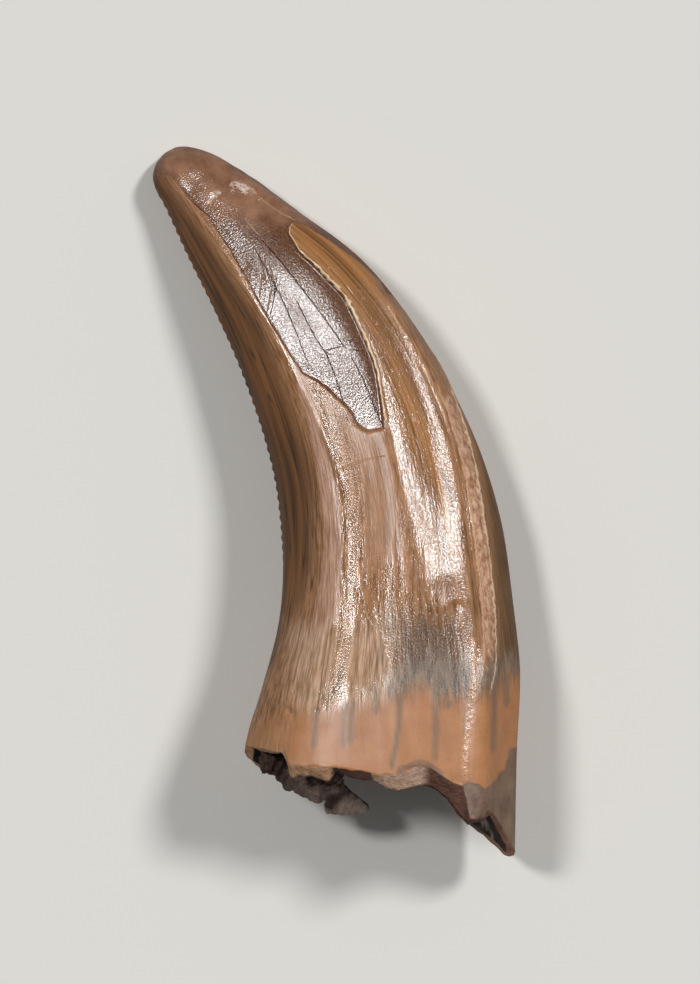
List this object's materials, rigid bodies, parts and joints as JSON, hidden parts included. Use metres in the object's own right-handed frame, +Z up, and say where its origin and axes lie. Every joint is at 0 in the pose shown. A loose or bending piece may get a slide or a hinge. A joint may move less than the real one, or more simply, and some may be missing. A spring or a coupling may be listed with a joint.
{
  "type": "fossil tyrannosaur tooth",
  "caption": "Recurved fossil tooth lying on its flank: serrated cutting edges, a worn flat facet, a jagged broken root and dark sediment in the hollow of its base.",
  "frame": {"origin": "centre of the bounding box's bottom face, on the surface that the tooth lies on", "axes": "+Y from the broken root towards the tip, +Z up, +X towards the convex (mesial) edge"},
  "size_m": [0.0168, 0.0324, 0.0089],
  "materials": {
    "fossil_tooth": "glossy brown mineralised enamel over a satin tan root",
    "dark_sediment": "dull dark brown, crumbly"
  },
  "bodies": {
    "root": {"tooth": "fossil_tooth", "sediment_filling": "dark_sediment"}
  },
  "joints": []
}
